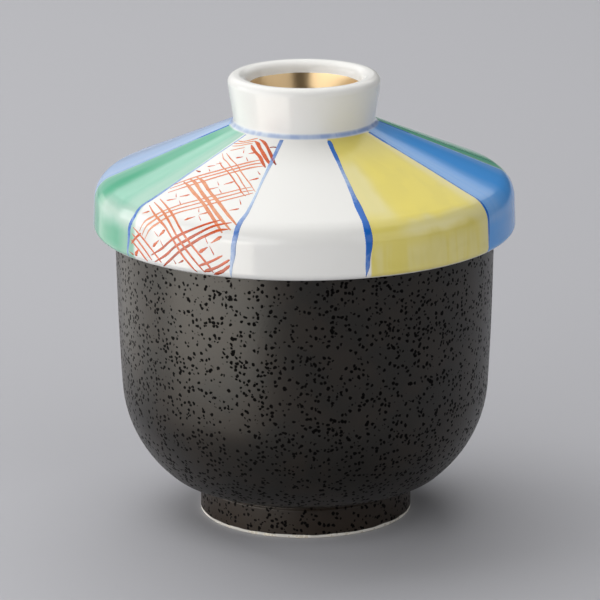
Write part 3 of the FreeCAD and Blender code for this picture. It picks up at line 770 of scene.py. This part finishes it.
def painted_porcelain(settings):
    """White porcelain under clear glaze, with translucent overglaze enamels brushed on in panels.

    The enamels are glassy washes: they pool where the brush was full and run thin where it lifted, so every
    panel is streaked from the neck to the edge. The five panels repeat once round the lid."""
    material, tree = new_material("painted_porcelain")
    turn = add(tree, "ShaderNodeAttribute", {"attribute_name": "turn"}).outputs["Fac"]
    run = add(tree, "ShaderNodeAttribute", {"attribute_name": "run"}).outputs["Fac"]
    place = reckon(tree, "WRAP", turn, PANELS["blue"][1], PANELS["green"][0])

    # Streaks run with the brush, and pools are broad and soft. Edges waver with the pools
    sheet = add(tree, "ShaderNodeCombineXYZ", None, {0: turn, 1: run}).outputs[0]
    streak = brush_marks(tree, sheet, (0.28, 0.045), 0.4)
    pool = brush_marks(tree, sheet, (0.1, 0.12), 0.6)
    wobble = reckon(tree, "MULTIPLY_ADD", pool, 3.0, -1.5)
    shaky = reckon(tree, "ADD", place, wobble)
    drop = reckon(tree, "ADD", run, wobble)
    streaky = band(tree, streak, 0.52, 2.0, 0.14)
    pooled = band(tree, pool, 0.5, 2.0, 0.12)
    painted = band(tree, run, 0.8, PAINT_END, 0.35)
    inked = band(tree, run, 0.4, PAINT_END, 0.35)
    ring = band(tree, run, -0.35, 0.6, 0.3)
    green = band(tree, place, *PANELS["green"], 0.9)
    yellow = band(tree, place, *PANELS["yellow"], 0.4)
    blue = band(tree, place, *PANELS["blue"], 0.4)
    # Painted light: the turns on the lid's left side, where the left lamp falls, so that the blue there is
    # whitened
    left_lit_side = band(tree, turn, -135.0, -86.0, 3.0)
    corner = band(tree, reckon(tree, "MULTIPLY_ADD", shaky, 0.16, run), 1.0, 9.6, 1.1)

    def across(low, high, soft):
        """Between two turns, in degrees, with wavering edges."""
        return band(tree, shaky, low, high, soft)

    def down(low, high, soft):
        """Between two runs, in millimetres from the neck, with wavering edges."""
        return band(tree, drop, low, high, soft)

    # Coats in the order in which they lie: colour, strength, masks
    coats = (
        # Green panel: a full stroke near its outer side, thin wash elsewhere, fading out at the lattice,
        # with a painted highlight across the shoulder
        (settings.green, 1.0, green, painted),
        (settings.white, 0.25, across(-59.0, -50.0, 3.0), green),
        (settings.green_deep, 0.12, green, painted, streaky),
        (settings.green_deep, 0.5, across(-83.0, -70.5, 2.6), down(3.0, 30.5, 2.5)),
        (settings.green_deep, 0.85, across(-78.0, -72.5, 2.4), down(19.0, 29.5, 5.0)),
        (settings.green_deep, 0.6, across(-72.0, -58.0, 3.0), down(34.5, 38.5, 1.2)),
        # Painted highlight: white across the shoulder, where the lamp above is mirrored in the glaze
        (settings.white, 0.4, green, down(29.5, 33.0, 2.0), across(-73.0, -50.0, 4.0)),
        (settings.green_deep, 0.25, green, down(33.5, 39.5, 1.5), painted),
        # Yellow panel: mottled, deeper at the neck, thin down its left side, with a painted highlight of the
        # pale yellow across the shoulder
        (settings.yellow, 1.0, yellow, painted),
        (settings.yellow_rich, 0.8, across(27.0, 53.0, 5.0), down(8.0, 29.5, 4.0)),
        (settings.yellow_deep, 0.25, yellow, painted, pooled),
        (settings.yellow_deep, 0.6, corner, yellow, painted, band(tree, run, -2.0, 8.0, 1.5)),
        (settings.yellow_thin_and_highlight, 0.5, across(15.0, 26.0, 2.5), yellow, down(9.5, 27.0, 2.5)),
        (settings.yellow_thin_and_highlight, 0.5, across(54.0, 62.0, 2.5), yellow, painted),
        # Painted highlight: the pale yellow across the shoulder, where the lamp above is mirrored in the
        # glaze
        (settings.yellow_thin_and_highlight, 0.6, yellow, down(28.5, 31.5, 1.2), across(27.0, 56.0, 4.0)),
        (settings.yellow_deep, 0.55, yellow, pooled, down(31.5, 38.0, 1.5)),
        (settings.yellow_thin_and_highlight, 0.35, yellow, down(33.0, 39.5, 2.0), streaky),
        # Blue panel: light, then one broad full stroke, then lighter again. The copy on the lid's left side
        # is mixed with white as painted light, where the left lamp falls on it
        (settings.blue, 1.0, blue, inked),
        (settings.blue_deep, 0.2, blue, painted, streaky),
        (settings.blue_deep, 0.55, across(66.0, 91.0, 4.0), down(1.0, 34.0, 3.0), painted),
        (settings.blue_deep, 0.85, across(73.5, 87.5, 2.5), down(6.0, 31.0, 3.0)),
        (settings.blue_deep, 0.75, blue, down(33.0, 39.5, 1.5), painted),
        # Painted light: white over the blue panel on the lid's left side, where the left lamp lights it
        (settings.white, 0.35, blue, left_lit_side, painted),
        # Blue ring round the neck, fuller at the right and where it pooled
        (settings.line_blue_pale, 0.7, ring),
        (settings.line_blue, 0.35, ring, across(-10.0, 94.0, 25.0)),
        (settings.line_blue, 0.3, ring, pooled),
    )
    colour = plain(tree, settings.white)
    for paint, strength, *masks in coats:
        colour = layer(tree, colour, paint, *masks, strength=strength)
    surface(tree, {"IOR": 1.5, "Roughness": 0.13},
            {"Base Color": colour, "Normal": relief(tree, pool, 0.25, 0.04)})
    return material


def brushed_enamel(name, pale, full, deep):
    """Overglaze enamel drawn with a fine brush: glassy, pale where the brush ran dry, deep in pools."""
    material, tree = new_material(name)
    load = add(tree, "ShaderNodeAttribute", {"attribute_name": "load"}).outputs["Fac"]
    uneven = reckon(tree, "MULTIPLY_ADD", noise(tree, on_object(tree), 0.9), 0.36, -0.18)
    ramp = add(tree, "ShaderNodeValToRGB", None, {0: reckon(tree, "MULTIPLY_ADD", load, 0.7, uneven)})
    stops = ramp.color_ramp.elements
    stops[0].color = pale
    stops[0].position = 0.05
    stops[1].color = full
    stops[1].position = 0.6
    stops.new(1.0).color = deep
    surface(tree, {"IOR": 1.52, "Roughness": 0.15}, {"Base Color": ramp.outputs[0]})
    return material


def gold_lustre(gold, white):
    """Fired gold lustre, brushed inside the knob over the glaze: a thin mirror with soft brush waves.

    It starts in a slightly uneven line below the white lip."""
    material, tree = new_material("gold_lustre")
    where = on_object(tree)
    wave = noise(tree, where, 3.0)
    edge = reckon(tree, "MULTIPLY_ADD", wave, 0.3 * MM, GILT_TOP * MM)
    gilt = ramped(tree, reckon(tree, "SUBTRACT", edge, height_of(tree, where)), -0.03 * MM, 0.06 * MM)
    surface(tree, {},
            {"Base Color": layer(tree, plain(tree, white), gold, gilt), "Metallic": gilt,
             "Roughness": ramped(tree, gilt, 0.0, 1.0, 0.12, 0.28), "Normal": relief(tree, wave, 0.3, 0.06)})
    return material


class TurnCup(bpy.types.Operator):
    """Turn the cup and give it its iron glaze"""
    bl_idname = "steaming_cup.turn_cup"
    bl_label = "Turn the cup"

    def execute(self, context):
        settings = context.scene.cup_settings
        white = context.scene.lid_settings.white
        piece = turned("cup_turned", cup_stretches(settings), [iron_glaze(settings), clear_glaze(white)])
        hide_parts("cup")
        return {"FINISHED"}


class TurnLid(bpy.types.Operator):
    """Turn the lid and paint its panels"""
    bl_idname = "steaming_cup.turn_lid"
    bl_label = "Turn the lid"

    def execute(self, context):
        settings = context.scene.lid_settings
        stretches, neck_middle = lid_stretches(settings)
        materials = [painted_porcelain(settings), clear_glaze(settings.white),
                     gold_lustre(settings.gold, settings.white)]
        piece = turned("lid_turned", stretches, materials, neck_middle)
        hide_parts("lid")
        return {"FINISHED"}


class DrawBlueLines(bpy.types.Operator):
    """Draw the blue lines between the lid's panels"""
    bl_idname = "steaming_cup.blue_lines"
    bl_label = "Draw the blue lines"

    def execute(self, context):
        settings = context.scene.lid_settings
        face = LidFace(*lid_stretches(settings))
        blue = settings.line_blue
        material = brushed_enamel("cobalt_enamel", settings.line_blue_pale, blue, blue)
        piece = blue_lines(face).piece("lid_blue_lines", material)
        return {"FINISHED"}


class DrawLattice(bpy.types.Operator):
    """Draw the red lattice and its crosses"""
    bl_idname = "steaming_cup.red_lattice"
    bl_label = "Draw the red lattice"

    def execute(self, context):
        settings = context.scene.lid_settings
        face = LidFace(*lid_stretches(settings))
        material = brushed_enamel("iron_red_enamel", settings.red_pale, settings.red, settings.red_deep)
        piece = red_lattice(face).piece("lid_red_lattice", material)
        return {"FINISHED"}


# The photograph's view: 600 pixels square, the camera straight in front of the cup
IMAGE_SIDE = 600
FOCAL_PIXELS = 4099.5
CAMERA_PLACE = (-1.0, -800.0, 267.5)
CAMERA_PITCH = math.radians(15.63)
CAMERA_ROLL = 0.0042
SENSOR = 36.0

# The stage: half the floor's side in metres, the height in metres that lamps aim at, and two lights' tints
FLOOR_HALF = 3.0
AIM_HEIGHT = RIM_HEIGHT * MM * 0.7
SKY_COLOUR = (0.97, 0.98, 1.0, 1.0)
CARD_COLOUR = (1.0, 0.95, 0.85)


def studio_camera():
    """Camera at the photograph's place and angle."""
    lens = bpy.data.cameras.new("studio_camera")
    lens.sensor_width = SENSOR
    lens.lens = FOCAL_PIXELS / IMAGE_SIDE * SENSOR
    lens.clip_start = 0.05
    camera = bpy.data.objects.new("studio_camera", lens)
    bpy.context.scene.collection.objects.link(camera)
    tilt = Matrix.Rotation(math.pi / 2 - CAMERA_PITCH, 4, "X")
    roll = Matrix.Rotation(-CAMERA_ROLL, 4, "Z")
    camera.matrix_world = Matrix.Translation(Vector(CAMERA_PLACE) * MM) @ tilt @ roll
    bpy.context.scene.camera = camera


def soft_box(name, turn, rise, distance, width, height, power, lights=True, shows=True):
    """A rectangular lamp at a turn from the front and a rise above the floor, aimed at the cup.

    One that lights nothing is only seen as a reflection, and one that doesn't show has no reflection."""
    lamp = bpy.data.lights.new(name, "AREA")
    lamp.shape = "RECTANGLE"
    lamp.size = width
    lamp.size_y = height
    lamp.energy = power
    holder = bpy.data.objects.new(name, lamp)
    bpy.context.scene.collection.objects.link(holder)
    angle = math.radians(turn)
    up = math.radians(rise)
    target = Vector((0, 0, AIM_HEIGHT))
    way = Vector((math.sin(angle) * math.cos(up), -math.cos(angle) * math.cos(up), math.sin(up)))
    holder.location = target + way * distance
    holder.rotation_euler = way.to_track_quat("Z", "Y").to_euler()
    holder.visible_camera = False
    holder.visible_diffuse = lights
    holder.visible_glossy = shows
    return holder


class SetStage(bpy.types.Operator):
    """Lay the floor and set the camera and the studio light"""
    bl_idname = "steaming_cup.set_stage"
    bl_label = "Set the stage"

    def execute(self, context):
        settings = context.scene.stage_settings
        corners = [(x * FLOOR_HALF, y * FLOOR_HALF, 0) for x, y in ((-1, -1), (1, -1), (1, 1), (-1, 1))]
        mesh = bpy.data.meshes.new("floor")
        mesh.from_pydata(corners, [], [(0, 1, 2, 3)])
        floor = bpy.data.objects.new("floor", mesh)
        context.scene.collection.objects.link(floor)
        mesh.materials.append(pale_paper(settings.floor))

        world = bpy.data.worlds.new("studio")
        context.scene.world = world
        world.use_nodes = True
        world.node_tree.nodes.clear()
        sky = add(world.node_tree, "ShaderNodeBackground", {"Color": SKY_COLOUR, "Strength": settings.sky})
        add(world.node_tree, "ShaderNodeOutputWorld", None, {"Surface": sky.outputs[0]})

        soft_box("left_soft_box", -66, 17, 0.95, 2.4, 0.62, settings.side_light)
        soft_box("right_soft_box", 62, 20, 1.2, 1.7, 0.7, settings.fill_light)
        soft_box("front_soft_box", 10, 50, 1.5, 1.2, 1.2, settings.front_light, shows=False)
        # The light from above, and the large dim sheet that glossy surfaces show in its place
        soft_box("top_soft_box", -155, 62, 1.35, 1.7, 1.3, settings.top_light, shows=False)
        soft_box("top_sheet", 180, 68, 1.6, 2.6, 3.0, settings.top_light * 1.3, lights=False)
        # The pale backdrop, which shows only as a faint mirror image on the lid's far slopes
        soft_box("back_sheet", -160, 10, 2.2, 1.9, 1.6, settings.back_light, lights=False)
        # Low cards close by, seen only as reflections, carry the left box down to the floor
        cards = (("left_card_front", -50, 0.117, 1.0), ("left_card_back", -105, 0.12, 0.27))
        for name, turn, width, share in cards:
            card = soft_box(name, turn, -2, 0.115, width, 0.08, settings.card_light * share, lights=False)
            card.data.color = CARD_COLOUR
        studio_camera()
        context.scene.view_settings.view_transform = "Standard"
        return {"FINISHED"}


class CupPanel(bpy.types.Panel):
    """The pieces and their settings in the sidebar"""
    bl_idname = "VIEW3D_PT_steaming_cup"
    bl_label = "Lidded steaming cup"
    bl_space_type = "VIEW_3D"
    bl_region_type = "UI"
    bl_category = "Cup"

    def draw(self, context):
        for operator in OPERATORS:
            self.layout.operator(operator.bl_idname)
        for group in (context.scene.cup_settings, context.scene.lid_settings, context.scene.stage_settings):
            box = self.layout.box()
            for title in group.__annotations__:
                box.prop(group, title)


OPERATORS = (SetStage, TurnCup, TurnLid, DrawBlueLines, DrawLattice)
CLASSES = (CupSettings, LidSettings, StageSettings, *OPERATORS, CupPanel)


def register():
    """Register the classes and hang their settings on the scene."""
    for item in CLASSES:
        bpy.utils.register_class(item)
    bpy.types.Scene.cup_settings = bpy.props.PointerProperty(type=CupSettings)
    bpy.types.Scene.lid_settings = bpy.props.PointerProperty(type=LidSettings)
    bpy.types.Scene.stage_settings = bpy.props.PointerProperty(type=StageSettings)


def unregister():
    """Take the settings and the classes away again."""
    del bpy.types.Scene.cup_settings
    del bpy.types.Scene.lid_settings
    del bpy.types.Scene.stage_settings
    for item in reversed(CLASSES):
        bpy.utils.unregister_class(item)


def main():
    """Build everything."""
    register()
    bpy.ops.steaming_cup.set_stage()
    bpy.ops.steaming_cup.turn_cup()
    bpy.ops.steaming_cup.turn_lid()
    bpy.ops.steaming_cup.blue_lines()
    bpy.ops.steaming_cup.red_lattice()


if __name__ == "__main__":
    main()
